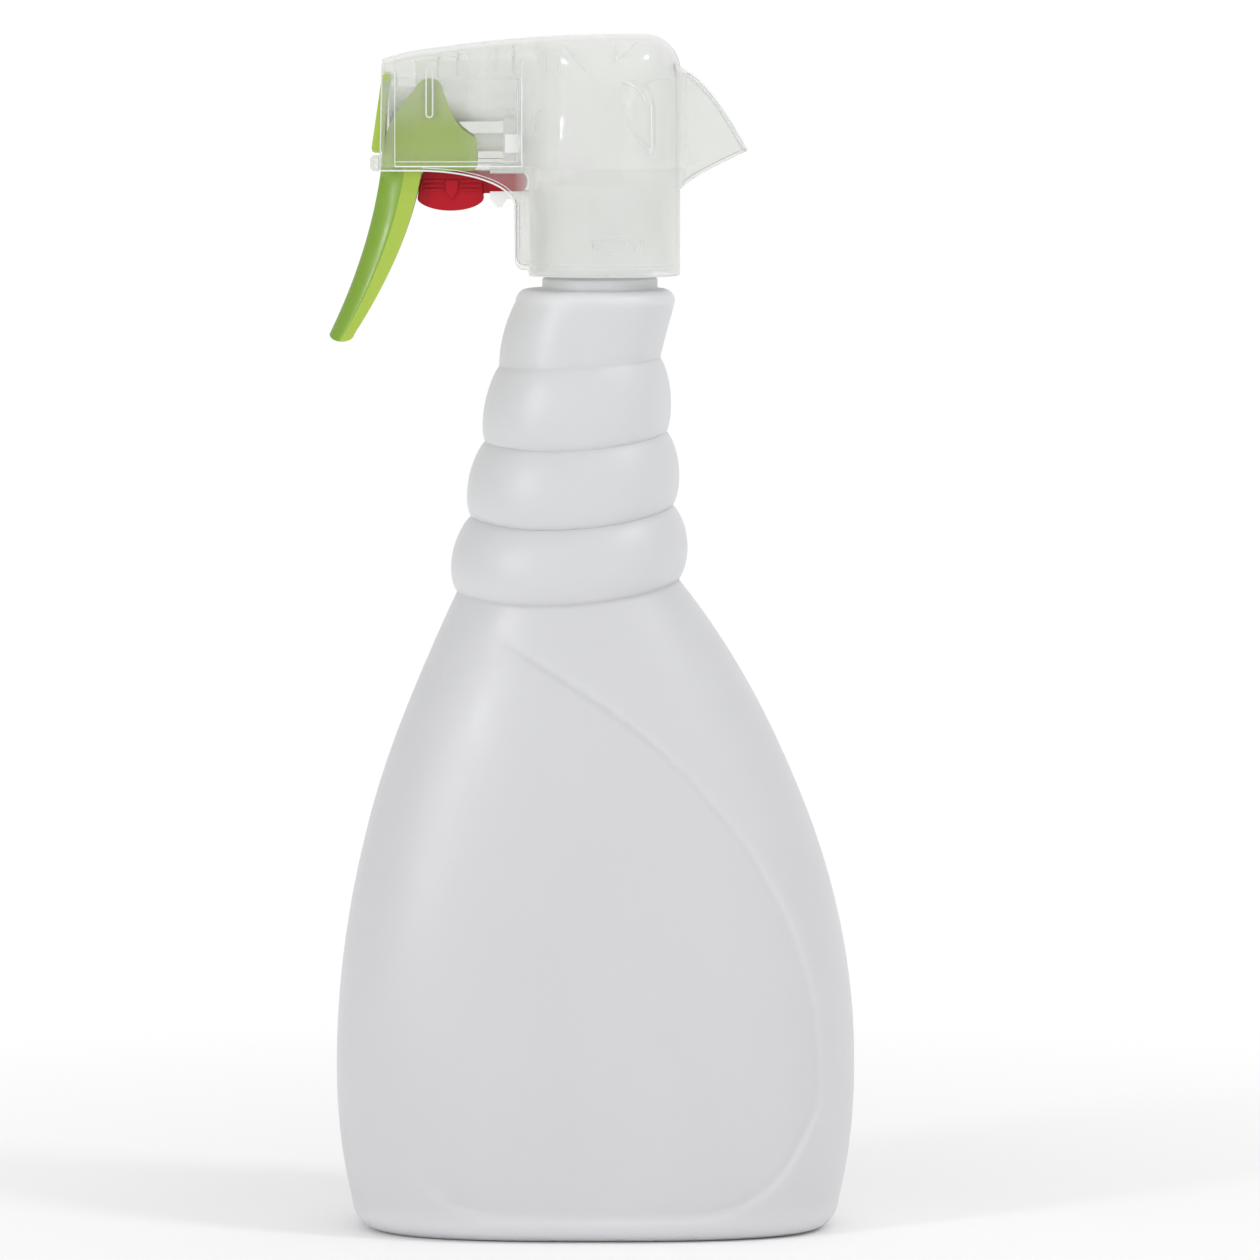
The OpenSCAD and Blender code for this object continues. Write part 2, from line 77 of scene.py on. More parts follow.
# ---------------------------------------------------------------- small maths


def mix(a, b, t):
    return a + (b - a) * t


def ease(t):
    """Smooth step from 0 to 1."""
    u = max(0.0, min(1.0, t))
    return u * u * (3 - 2 * u)


def spaced(a, b, count):
    """count + 1 even values from a to b."""
    return [mix(a, b, k / count) for k in range(count + 1)]


def rounded(x, power):
    """x raised to a power with its sign kept, for superellipses."""
    return math.copysign(abs(x) ** power, x)


# ---------------------------------------------------------------- mesh helpers


def new_object(name, verts, faces, material, smooth=True):
    """A mesh object from points in millimetres."""
    mesh = bpy.data.meshes.new(name)
    mesh.from_pydata([Vector(v) * MM for v in verts], [], faces)
    mesh.validate()
    bm = bmesh.new()
    bm.from_mesh(mesh)
    bmesh.ops.remove_doubles(bm, verts=bm.verts, dist=1e-7)
    bmesh.ops.recalc_face_normals(bm, faces=bm.faces)
    bm.to_mesh(mesh)
    bm.free()
    for poly in mesh.polygons:
        poly.use_smooth = smooth
    mesh.materials.append(material)
    obj = bpy.data.objects.new(name, mesh)
    bpy.context.scene.collection.objects.link(obj)
    return obj


def grid_faces(rows, columns, closed=False, start=0):
    """Quads between rows of points. closed joins the last column to the first."""
    last = columns if closed else columns - 1
    faces = []
    for i in range(rows - 1):
        for k in range(last):
            a = start + i * columns + k
            b = start + i * columns + (k + 1) % columns
            faces.append((a, b, b + columns, a + columns))
    return faces


def apply_modifiers(obj):
    """Bakes the modifiers into the mesh."""
    graph = bpy.context.evaluated_depsgraph_get()
    mesh = bpy.data.meshes.new_from_object(obj.evaluated_get(graph))
    obj.modifiers.clear()
    obj.data = mesh


def soften(obj, width, segments=3, angle=30):
    """Rounds the edges, as a mould does, and keeps flat faces flat."""
    bevel = obj.modifiers.new("edges", "BEVEL")
    bevel.width = width * MM
    bevel.segments = segments
    bevel.limit_method = "ANGLE"
    bevel.angle_limit = math.radians(angle)
    bevel.harden_normals = False
    normals = obj.modifiers.new("normals", "WEIGHTED_NORMAL")
    normals.keep_sharp = True
    apply_modifiers(obj)


def prism(name, outline, y0, y1, material):
    """A closed outline of (x, z) points, carried from y0 to y1."""
    count = len(outline)
    verts = [(x, y, z) for y in (y0, y1) for x, z in outline]
    faces = [tuple(range(count)), tuple(range(2 * count - 1, count - 1, -1))]
    faces += [(k, (k + 1) % count, count + (k + 1) % count, count + k) for k in range(count)]
    return new_object(name, verts, faces, material)


def combine(obj, tools, operation):
    """Boolean of obj with each tool. The tools are used up."""
    for tool in tools:
        step = obj.modifiers.new("boolean", "BOOLEAN")
        step.operation = operation
        step.solver = "EXACT"
        step.object = tool
        apply_modifiers(obj)
        bpy.data.objects.remove(tool)
    return obj


def join(objects):
    """Makes one object of several, without a boolean, and keeps their materials."""
    first = objects[0]
    bm = bmesh.new()
    for obj in objects:
        material = obj.data.materials[0]
        if material.name not in first.data.materials:
            first.data.materials.append(material)
        index = first.data.materials.find(material.name)
        start = len(bm.faces)
        bm.from_mesh(obj.data)
        bm.faces.ensure_lookup_table()
        for face in bm.faces[start:]:
            face.material_index = index
    bm.to_mesh(first.data)
    bm.free()
    for obj in objects[1:]:
        bpy.data.objects.remove(obj)
    return first


def piece(obj, body, slot, *nodes):
    """Puts a finished piece on its body, in place of its CAD nodes."""
    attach(obj, body)
    if nodes:
        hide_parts(*nodes)
    return obj


# ---------------------------------------------------------------- materials


class Nodes:
    """A short way to write a node material."""

    def __init__(self, name):
        self.material = bpy.data.materials.new(name)
        self.material.use_nodes = True
        self.tree = self.material.node_tree
        self.tree.nodes.clear()
        self.output = self.add("ShaderNodeOutputMaterial")
        self.coords = self.add("ShaderNodeTexCoord").outputs["Object"]

    def add(self, kind, **inputs):
        node = self.tree.nodes.new(kind)
        for key, value in inputs.items():
            self.set(node, key.replace("_", " "), value)
        return node

    def set(self, node, key, value):
        socket = node.inputs[key]
        if hasattr(value, "is_output"):
            self.tree.links.new(value, socket)
        else:
            socket.default_value = value

    def noise(self, scale, detail=3.0, stretch=(1, 1, 1)):
        """Noise of a given scale (cycles a metre), 0 to 1."""
        place = self.add("ShaderNodeMapping", Scale=stretch, Vector=self.coords)
        node = self.add("ShaderNodeTexNoise", Scale=scale, Detail=detail, Vector=place.outputs[0])
        return node.outputs["Fac"]

    def spread(self, value, low_in, high_in, low_out, high_out):
        node = self.add("ShaderNodeMapRange", Value=value)
        self.set(node, "From Min", low_in)
        self.set(node, "From Max", high_in)
        self.set(node, "To Min", low_out)
        self.set(node, "To Max", high_out)
        return node.outputs[0]

    def blend(self, fac, a, b):
        node = self.tree.nodes.new("ShaderNodeMix")
        node.data_type = "RGBA"
        self.set(node, 0, fac)
        self.set(node, 6, a)
        self.set(node, 7, b)
        return node.outputs[2]

    def maths(self, operation, *values):
        node = self.tree.nodes.new("ShaderNodeMath")
        node.operation = operation
        for k, value in enumerate(values):
            self.set(node, k, value)
        return node.outputs[0]

    def bump(self, height, strength, distance, **below):
        """A bump normal, on top of the normal given as below, if any."""
        node = self.add("ShaderNodeBump", Strength=strength, Distance=distance, Height=height, **below)
        return node.outputs[0]

    def principled(self, **inputs):
        return self.add("ShaderNodeBsdfPrincipled", **inputs)

    def finish(self, shader):
        self.tree.links.new(shader, self.output.inputs["Surface"])
        return self.material


def moulded(name, pale, deep, roughness, subsurface=0.0, radius=0.004, shine=0.45):
    """Moulded plastic: slight flow marks in the colour, an uneven gloss and a fine skin."""
    n = Nodes(name)
    flow = n.spread(n.noise(40, 4, (1, 1, 0.35)), 0.3, 0.7, 0, 1)
    colour = n.blend(flow, (*deep, 1), (*pale, 1))
    gloss = n.spread(n.noise(160, 5), 0.3, 0.7, roughness - 0.05, roughness + 0.07)
    scuffs = n.spread(n.noise(900, 2, (1, 1, 0.08)), 0.62, 0.78, 0, 0.12)
    skin = n.bump(n.noise(1400, 3), 0.05, 0.0002)
    shader = n.principled(Base_Color=colour, Roughness=n.maths("ADD", gloss, scuffs), Normal=skin)
    n.set(shader, "Subsurface Weight", subsurface)
    n.set(shader, "Subsurface Radius", (radius, radius, radius * 0.8))
    n.set(shader, "Subsurface Scale", 1.0)
    n.set(shader, "Specular IOR Level", shine)
    n.set(shader, "Coat Weight", 0.2 * shine)
    n.set(shader, "Coat Roughness", 0.12)
    return n.finish(shader.outputs[0])


def milky_bottle():
    """Natural polyethylene: cloudy, softly glossy, with the fine ripple of a blown wall."""
    n = Nodes("milky_polyethylene")
    cloud = n.spread(n.noise(14, 3, (1, 1, 0.5)), 0.3, 0.7, 0, 1)
    colour = n.blend(cloud, (0.79, 0.785, 0.81, 1), (0.835, 0.83, 0.85, 1))
    place = n.add("ShaderNodeSeparateXYZ", Vector=n.coords)
    # painted shade: the colour grows lighter and less blue towards the top, so the lower part of the bottle
    # looks shaded
    lighter_upwards = n.spread(place.outputs[2], 0.02, 0.2, 0, 1)
    colour = n.blend(n.maths("MULTIPLY", lighter_upwards, 0.6), colour, (0.845, 0.865, 0.855, 1))
    gloss = n.spread(n.noise(90, 4), 0.3, 0.7, 0.36, 0.46)
    ripple = n.noise(55, 2, (1, 1, 0.4))
    skin = n.noise(1800, 2)
    # parting line of the mould, in the middle plane
    seam = n.maths("COMPARE", place.outputs[1], 0.0, 0.00025)
    normal = n.bump(ripple, 0.10, 0.002)
    normal = n.bump(skin, 0.04, 0.0002, Normal=normal)
    normal = n.bump(seam, 0.5, 0.0002, Normal=normal)
    shader = n.principled(Base_Color=colour, Roughness=gloss, Normal=normal)
    n.set(shader, "Subsurface Weight", 0.5)
    n.set(shader, "Subsurface Radius", (0.012, 0.012, 0.011))
    n.set(shader, "Subsurface Scale", 1.0)
    return n.finish(shader.outputs[0])


def clear_shroud():
    """Clear polypropylene: hazy in the barrel, milky round the column and where seen at a slant."""
    n = Nodes("clear_polypropylene")
    barrel_haze, column_haze, tail_haze = 0.135, 0.5, 0.13
    place = n.add("ShaderNodeSeparateXYZ", Vector=n.coords)
    along, up = place.outputs[0], place.outputs[2]
    facing = n.add("ShaderNodeLayerWeight", Blend=0.35).outputs["Facing"]
    barrel = n.spread(along, -0.0205, -0.0120, 1.0, 0.0)
    parts = [
        n.spread(along, -0.0205, -0.0120, barrel_haze, column_haze),
        n.spread(along, 0.0185, 0.021, 0.0, tail_haze - column_haze),
        n.spread(n.noise(60, 3), 0.3, 0.7, -0.02, 0.02),
        # the strip at the nozzle, the thin foot, the thin wall over the cheeks and the thick roof
        n.spread(along, -0.0492, -0.0486, 0.05, 0.0),
        n.spread(up, 0.2548, 0.2556, -0.06, 0.0),
        n.spread(along, -0.0325, -0.0275, -0.06, 0.0),
        n.maths("MULTIPLY", n.spread(up, 0.264, 0.274, 0.0, 0.10), barrel)]
    haze = parts[0]
    for part in parts[1:]:
        haze = n.maths("ADD", haze, part)
    slant = n.maths("MULTIPLY", n.maths("POWER", facing, 2.0), 0.55)
    solid = n.maths("MINIMUM", n.maths("ADD", haze, slant), 0.97)
    gloss = n.spread(n.noise(300, 3), 0.3, 0.7, 0.12, 0.2)
    skin = n.bump(n.noise(120, 2), 0.05, 0.0008)
    plastic = n.principled(Base_Color=(0.94, 0.95, 0.925, 1), Roughness=gloss, Normal=skin)
    n.set(plastic, "Specular IOR Level", 0.6)
    n.set(plastic, "Subsurface Weight", 0.3)
    n.set(plastic, "Subsurface Radius", (0.004, 0.004, 0.004))
    n.set(plastic, "Subsurface Scale", 1.0)
    clear = n.add("ShaderNodeBsdfTransparent", Color=(0.93, 0.935, 0.925, 1))
    both = n.add("ShaderNodeMixShader")
    n.set(both, 0, solid)
    n.set(both, 1, clear.outputs[0])
    n.set(both, 2, plastic.outputs[0])
    return n.finish(both.outputs[0])


def drawn_steel():
    n = Nodes("spring_steel")
    streak = n.spread(n.noise(700, 3), 0.3, 0.7, 0.18, 0.34)
    shader = n.principled(Base_Color=(0.62, 0.63, 0.65, 1), Metallic=1.0, Roughness=streak)
    return n.finish(shader.outputs[0])


BOTTLE = milky_bottle()
CLEAR = clear_shroud()
STEEL = drawn_steel()
# painted highlight: the shroud's raised edges and slot ribs are an opaque pale plastic, standing in for the
# bright light that the edges of clear plastic catch
EDGE_HIGHLIGHT = moulded("shroud_edges_painted_highlight", (0.95, 0.96, 0.95), (0.91, 0.925, 0.91),
               roughness=0.2, subsurface=0.3, radius=0.003)
NATURAL = moulded("natural_polypropylene", (0.97, 0.97, 0.96), (0.93, 0.94, 0.93),
                  roughness=0.34, subsurface=0.3, radius=0.006)
SOFT = moulded("soft_polyethylene", (0.88, 0.88, 0.86), (0.85, 0.85, 0.83),
               roughness=0.42, subsurface=0.25, radius=0.004)
GREEN = moulded("lime_polypropylene", (0.385, 0.525, 0.07), (0.35, 0.485, 0.06),
                roughness=0.3, subsurface=0.12, radius=0.003, shine=0.35)
# painted shade: a darker copy of the lime plastic for the blade's round front, standing in for its shade and
# for less light passing through it
SHADED_GREEN = moulded("lime_polypropylene_painted_shade", (0.235, 0.39, 0.05), (0.205, 0.355, 0.042),
                     roughness=0.3, subsurface=0.12, radius=0.003, shine=0.35)
RED = moulded("red_polypropylene", (0.47, 0.008, 0.02), (0.40, 0.005, 0.015),
              roughness=0.3, subsurface=0.05, radius=0.002, shine=0.15)
RUBBER = moulded("seal_rubber", (0.03, 0.03, 0.032), (0.02, 0.02, 0.022), roughness=0.6)


# ---------------------------------------------------------------- bottle

GRIP_Z = 155.0
TIER_H = 17.8
TIERS = 3
WIDE_Z = 40.0
BODY_SIDE = 36.0
WALL = 1.2
FOOT_R = 7.0
CORNER_R = 3.0
PANEL_SINK = 0.8
GRIP_START = Vector((34.2, 18.8, 23.0))  # half sizes (front, rear, side) at the grip's first crease
GRIP_STEP = Vector((3.35, 1.45, 1.6))    # how much smaller each next crease is
SHOULDER = Vector((20.2, 18.0, 17.4))
NECK_R = 12.55
MOUTH_R = 10.4
AROUND = 300  # points round the bottle


def body_size(z):
    """Half sizes (front, rear, side) of the body below the grip."""
    widest = Vector((BODY_FRONT, BODY_REAR, BODY_SIDE))
    if z > WIDE_Z:
        u = (z - WIDE_Z) / (GRIP_Z - WIDE_Z)
        powers = (1.93, 2.05, 1.7)
        return Vector([mix(widest[k], GRIP_START[k], u ** powers[k]) for k in range(3)])
    u = ((WIDE_Z - z) / WIDE_Z) ** 2.2
    return widest - Vector((5.6, 5.6, 4.0)) * u


def crease_size(i):
    """Half sizes at the crease under tier i."""
    return GRIP_START - GRIP_STEP * i


def tier_size(i, u):
    """Half sizes inside bulging tier i, at a fraction u of its height."""
    bulge = (2.9 - 0.55 * i) * (4 * u * (1 - u) + 1e-9) ** 0.75
    return crease_size(i).lerp(crease_size(i + 1), u) + Vector((bulge, bulge, bulge))


def top_size(u):
    """Half sizes of the plain top tier, which swells a little in front."""
    return crease_size(TIERS).lerp(SHOULDER, u) + Vector((4 * u * (1 - u), 0, 0))


def lean(z):
    """Slope of the rings towards the spray side."""
    return 0.055 * ease((z - 100) / 50) * (1 - ease((z - GRIP_Z - TIER_H * TIERS) / TIER_H))


def sag(z):
    """How far the rings hang down at the sides."""
    return 3 * ease((z - 110) / 45) * ease((218 - z) / 42)


def panel(x, z):
    """1 inside the sunk label panel, 0 outside, with a crisp step on the rear side."""
    edge = 54 - 71 * max(0.0, (z - 36) / 107) ** 2.25
    floor = 5 + 31 * (abs(x) / 54) ** 5
    return ease((edge - x) / 2) * ease((z - floor) / 2) * ease((x + 52) / 25) * ease((150 - z) / 12)


def squareness(z):
    """Power of the superellipse at level z."""
    return mix(2.7, 2.15, ease((z - WIDE_Z) / 115))


def ring(z, size, inset, power):
    """One ring of the bottle's wall."""
    points = []
    half = (size[0] + size[1]) / 2 - inset
    middle = (size[1] - size[0]) / 2
    for k in range(AROUND):
        a = 2 * math.pi * k / AROUND
        x = middle + half * rounded(math.cos(a), 2 / power)
        y = (size[2] - inset) * rounded(math.sin(a), 2 / power)
        v = y / size[2]
        sink = PANEL_SINK * panel(x, z) * ease((abs(v) - 0.5) / 0.3)
        points.append((x, y - math.copysign(sink, y), z + lean(z) * (x - middle) - sag(z) * v * v))
    return points


def shell_rings(inset, fine):
    """Rings from the base to the shoulder. fine sets how close they are."""
    rings = []
    for a in spaced(0, math.pi / 2, 8)[:-1]:
        level = inset + FOOT_R * (1 - math.cos(a))
        shrink = FOOT_R * (1 - math.sin(a))
        rings.append(ring(level, body_size(FOOT_R) - Vector((shrink,) * 3), inset, 2.7))
    for z in spaced(FOOT_R + inset, GRIP_Z, 140 // fine)[:-1]:
        rings.append(ring(z, body_size(z), inset, squareness(z)))
    per_tier = 28 // fine
    for i in range(TIERS):
        for k in range(per_tier):
            u = (1 - math.cos(math.pi * k / per_tier)) / 2
            z = GRIP_Z + TIER_H * (i + u)
            rings.append(ring(z, tier_size(i, u), inset, squareness(z)))
    for k in range(24 // fine):
        u = k * fine / 24
        z = mix(GRIP_Z + TIER_H * TIERS, SHOULDER_Z - CORNER_R, u)
        rings.append(ring(z, top_size(u), inset, 2.15))
    for a in spaced(0, math.pi / 2, 8):
        z = SHOULDER_Z - inset - CORNER_R * (1 - math.sin(a))
        rings.append(ring(z, SHOULDER - Vector((CORNER_R * (1 - math.cos(a)),) * 3), inset, 2.15))
    return rings


def circle(z, radius, count=AROUND):
    turns = [2 * math.pi * k / count for k in range(count)]
    return [(radius * math.cos(a), radius * math.sin(a), z) for a in turns]


def disc(x, z, radius):
    """A round outline of (x, z) points."""
    return [(x + a, z + b) for a, b, _ in circle(0, radius, 32)]


def thread():
    """One turn of the thread's ridge on the neck."""
    steps = 72
    pitch = 4.23
    start_z = 235
    root_r, crest_r = 12.3, 13.65
    ridge = [(root_r, -1.15), (crest_r, -0.6), (crest_r, 0.6), (root_r, 1.15)]
    verts = []
    for k in range(steps + 1):
        a = 2 * math.pi * k / steps
        verts += [(r * math.cos(a), r * math.sin(a), start_z + w + pitch * k / steps) for r, w in ridge]
    faces = [(3, 2, 1, 0), tuple(4 * steps + s for s in range(4))]
    faces += grid_faces(steps + 1, 4, closed=True)
    return new_object("thread", verts, faces, BOTTLE)


def make_bottle():
    outer = shell_rings(0, 1)
    inner = shell_rings(WALL, 4)
    neck = [
        (SHOULDER_Z, 14.6), (SHOULDER_Z + 0.1, 14.0), (SHOULDER_Z + 0.4, 13.8), (SHOULDER_Z + 2.2, 13.8),
        (SHOULDER_Z + 2.6, 13.5), (SHOULDER_Z + 3.0, 12.7), (SHOULDER_Z + 3.4, NECK_R),
        (NECK_TOP - 0.4, NECK_R), (NECK_TOP, 12.2), (NECK_TOP, 10.8), (NECK_TOP - 0.4, MOUTH_R),
        (SHOULDER_Z + 1, MOUTH_R), (SHOULDER_Z - 0.6, 11.2)]
    rings = outer + [circle(z, r) for z, r in neck] + list(reversed(inner))
    verts = [(0, 0, 0)] + [p for r in rings for p in r] + [(0, 0, WALL)]
    faces = [(0, 1 + (k + 1) % AROUND, 1 + k) for k in range(AROUND)]
    faces += grid_faces(len(rings), AROUND, closed=True, start=1)
    first = 1 + (len(rings) - 1) * AROUND
    faces += [(first + k, first + (k + 1) % AROUND, len(verts) - 1) for k in range(AROUND)]
    shell = new_object("bottle_shell", verts, faces, BOTTLE)
    piece(join([shell, thread()]), "bottle", "bottle_pe", "bottle")


# ---------------------------------------------------------------- shroud

BARREL_HALF = 11.0
SKIRT_HALF = 17.0
SHROUD_WALL = 1.2
SHROUD_INSIDE = BARREL_HALF - SHROUD_WALL
FRONT_X = -51.8
STRIP_X = -20.2      # front of the strip in front of the skirt
STRIP_TOP = 246.0    # where the arch behind the trigger runs into the strip
STRIP_FOOT = -18.2   # middle of the strip's round foot
ARCH_X = -42.2       # front of the arch
ARCH_LONG = 22.0
COLUMN_X = 1.2       # middle of the column
COLUMN_HALF = 18.0   # half its length along X
PLAN_POWER = 2.6     # superellipse of the column's plan
DOME_R = 8.6
DOME_X = COLUMN_X + COLUMN_HALF - DOME_R  # where the roof starts to round down
WINDOW_X = (-48.7, -18.5)
WINDOW_Z = (255.6, 276.4)
WINDOW_SINK = 0.45
BEVEL = 0.35         # slope round the window
TAIL_X = COLUMN_X + COLUMN_HALF - 1.3
TAIL_CREST = 20.4    # where the tail's top starts to fall
TAIL_END = 35.2


def top_line(x):
    """Top of the shroud in front of the dome."""
    return SHROUD_TOP - 0.0016 * max(0.0, 6 - x) ** 2 - 0.6 * ease((-x - 45) / 8)


def roof(x):
    """Top of the shroud, dome included."""
    over = max(0.0, x - DOME_X)
    if over == 0:
        return top_line(x)
    return SHROUD_TOP - DOME_R + math.sqrt(max(0.0, DOME_R ** 2 - over ** 2))


def column_edge(x):
    """Radius of the roof's edge over the column."""
    return mix(5, DOME_R, ease((x + 17) / 20))


def barrel_edge(x):
    """Radius of the roof's edge over the barrel."""
    return mix(2.6, 4.5, (x + 52) / 32)


def lean_in(x, z):
    """How far the barrel's sides lean in towards the roof."""
    return 0.45 * ease((z - 262) / 24) * ease((COLUMN_X - 6 - x) / 9)


def column_half(x):
    """Half the width of the column at x, 0 outside it."""
    u = abs(x - COLUMN_X) / COLUMN_HALF
    return SKIRT_HALF * (1 - u ** PLAN_POWER) ** (1 / PLAN_POWER) if u < 1 else 0.0


def shroud_half(x):
    """Half the width of the shroud at x: the barrel's box runs smoothly into the column."""
    column = column_half(x)
    if x > COLUMN_X:
        return column
    return (BARREL_HALF ** 9 + column ** 9) ** (1 / 9)


def shroud_stations():
    """(x, half width, top, bottom, edge radius) from the front to the rear of the shroud."""
    xs = spaced(FRONT_X, WINDOW_X[0] - BEVEL, 6)
    xs += spaced(WINDOW_X[0], WINDOW_X[0] + BEVEL, 2)[:2]
    xs += spaced(WINDOW_X[0] + 2 * BEVEL, STRIP_X - 0.3, 34)
    stations = []
    for x in xs:
        share = max(0.0, x - ARCH_X) / ARCH_LONG
        bottom = STRIP_TOP + (RAIL_Z - STRIP_TOP) * math.sqrt(max(0.0, 1 - share ** 2))
        stations.append((x, shroud_half(x), top_line(x), bottom, barrel_edge(x)))
    for x in (STRIP_X, -19.6, WINDOW_X[1] - BEVEL, WINDOW_X[1], WINDOW_X[1] + BEVEL, -17.6, -17.2):
        corner = 2.2 * (1 - math.sqrt(max(0.0, 1 - (max(0.0, STRIP_FOOT - x) / 2.0) ** 2)))
        edge = mix(4.5, 5, (x + 20) / 3)
        stations.append((x, shroud_half(x), top_line(x), SKIRT_Z + 1.6 + corner, edge))
    for a in spaced(math.pi * 0.985, 0.0, 110):
        x = COLUMN_X + COLUMN_HALF * rounded(math.cos(a), 2 / PLAN_POWER)
        if x > -17.0:
            stations.append((x, max(0.05, shroud_half(x)), roof(x), SKIRT_Z, column_edge(x)))
    return stations


def hill(x, z, x0, z0, width, tall):
    """A round bump of height 1 at (x0, z0)."""
    return math.exp(-((x - x0) / width) ** 2 - ((z - z0) / tall) ** 2)


def scoop(x, z):
    """1 inside the pointed hollow on the column's side, 0 outside."""
    left = x - 4.5 - 6.5 * (max(0.0, 272 - z) / 12) ** 2
    right = 13.4 - x - 0.35 * max(0.0, z - 270)
    above = 276.2 - 0.12 * (x - 8) ** 2 - z
    return ease(left / 1.2) * ease(right / 0.5) * ease(above / 0.6) * ease(z - 259.6)


def relief(x, z):
    """How far the sides of the shroud stand proud of their plain form."""
    proud = 0.9 * hill(x, z, -9.2, 261.6, 2.4, 3.6) + 1.6 * hill(x, z, 7.3, 270.6, 2.3, 3.0)
    return proud - 0.5 * scoop(x, z)


def within(value, limits):
    """True between two limits, with room for rounding errors."""
    return limits[0] - 0.01 <= value <= limits[1] + 0.01


def section(x, half, top, bottom, radius):
    """Points of one side of the shroud, from its bottom edge up to the crest."""
    wide = min(radius, half)
    spring_z = top - min(radius, DOME_R)  # where the side starts to round into the roof
    levels = spaced(bottom, max(bottom, WINDOW_Z[0] - BEVEL), 14)
    levels += [WINDOW_Z[0]] + spaced(WINDOW_Z[0] + BEVEL, WINDOW_Z[1] - BEVEL, 44) + [WINDOW_Z[1]]
    levels += spaced(WINDOW_Z[1] + BEVEL, max(WINDOW_Z[1] + 2 * BEVEL, spring_z), 3)
    points = []
    for z in levels:
        z = min(z, spring_z) if spring_z > bottom else z
        inside = within(x, WINDOW_X) and within(z, WINDOW_Z)
        sink = WINDOW_SINK if inside else 0.0
        # the relief fades where the column narrows to its rear line
        points.append((x, half - sink - lean_in(x, z) + min(1.0, half / 8) * relief(x, z), z))
    last_y = points[-1][1]
    for a in spaced(0, math.pi / 2, 14)[1:]:
        y = max(0.0, last_y - wide + wide * math.cos(a))
        points.append((x, y, spring_z + (top - spring_z) * math.sin(a)))
    # flat top between the rounded edges
    end_y = 0.0 if wide == half else points[-1][1]
    points[-1] = (x, end_y, top)
    for t in (0.66, 0.33, 0.0):
        points.append((x, end_y * t, top + 0.25 * (1 - t * t)))
    return points


def make_shroud():
    rows = []
    for station in shroud_stations():
        half = section(*station)
        rows.append([(x, y, z) for x, y, z in half] + [(x, -y, z) for x, y, z in reversed(half[:-1])])
    columns = len(rows[0])
    # the front edge slants forward to its foot, as far back as the window
    slant, slant_top, slant_tall = 0.6, SHROUD_TOP - 6, 26
    for row in rows[:7]:
        for k, (x, y, z) in enumerate(row):
            share = (x - FRONT_X) / (WINDOW_X[0] - FRONT_X)
            row[k] = (x - slant * (1 - ease(share)) * (slant_top - z) / slant_tall, y, z)
    cover = new_object("cover", [p for r in rows for p in r], grid_faces(len(rows), columns), CLEAR)
    # front wall of the skirt, under the barrel
    verts = []
    ys = spaced(-BARREL_HALF - 0.8, BARREL_HALF + 0.8, 28)
    zs = spaced(SKIRT_Z, 249.2, 12)
    for z in zs:
        for y in ys:
            u = (1 - (abs(y) / SKIRT_HALF) ** PLAN_POWER) ** (1 / PLAN_POWER)
            verts.append((COLUMN_X - COLUMN_HALF * u, y, z))
    wall = new_object("skirt_front", verts, grid_faces(len(zs), len(ys)), CLEAR)
    parts = [cover, wall, make_tail()]
    for obj in parts:
        solid = obj.modifiers.new("wall", "SOLIDIFY")
        solid.thickness = SHROUD_WALL * MM
        solid.offset = -1
        apply_modifiers(obj)
    parts += shroud_details()
    shroud = join(parts)
    shroud.name = "shroud_shell"
    soften_normals(shroud)
    piece(shroud, "head", "clear_pp", "shroud")


def soften_normals(obj):
    """Smooth shading, with a crease at every sharp edge."""
    for poly in obj.data.polygons:
        poly.use_smooth = True
    obj.data.set_sharp_from_angle(angle=math.radians(38))


def tail_half(x):
    """Half the width of the tail at x."""
    return mix(8.2, 6.6, max(0.0, (x - TAIL_X) / (TAIL_END - TAIL_X)) ** 1.5)


def tail_top(x):
    """Top of the tail, which falls from its crest to its tip."""
    return 278 - 18.8 * max(0.0, (x - TAIL_CREST) / 14.9) ** 1.45


def tail_low(x):
    """Lower edge of the tail, which rises from the skirt to the tip."""
    return 250 + 9.2 * max(0.0, (x - 19.2) / 16.1) ** 0.78


def make_tail():
    """The hook at the rear, closed on top and open below."""
    rows = []
    for x in spaced(TAIL_X, TAIL_END, 30):
        rise = 2.2 * (1 - (x - TAIL_X) / (TAIL_CREST - TAIL_X))
        top = tail_top(x) + max(0.0, rise)
        bottom = tail_low(x)
        half = tail_half(x)
        radius = min(0.9, (top - bottom) * 0.4)
        half_row = [(x, half, z) for z in spaced(bottom, max(bottom + 0.02, top - radius), 10)]
        for a in spaced(0, math.pi / 2, 8)[1:]:
            half_row.append((x, half - radius + radius * math.cos(a), top - radius + radius * math.sin(a)))
        half_row += [(x, (half - radius) * t, top) for t in (0.66, 0.33, 0.0)]
        rows.append(half_row + [(a, -b, c) for a, b, c in reversed(half_row[:-1])])
    return new_object("tail", [p for r in rows for p in r], grid_faces(len(rows), len(rows[0])), CLEAR)


def block(low_corner, high_corner, material, round_off=0.2):
    """A small moulded block between two corners."""
    (x0, y0, z0), (x1, y1, z1) = low_corner, high_corner
    obj = prism("block", [(x0, z0), (x1, z0), (x1, z1), (x0, z1)], y0, y1, material)
    soften(obj, round_off, 2)
    return obj


def side_y(x, z):
    """Half the width of the shroud's outside at a point of its side, edges' rounding included."""
    edge = barrel_edge(x) if x < -20 else column_edge(x)
    half = shroud_half(x) - lean_in(x, z)
    up = z - (roof(x) - edge)
    if up <= 0:
        return half
    return half - min(edge, half) * (1 - math.sqrt(max(0.0, 1 - min(1.0, up / edge) ** 2)))


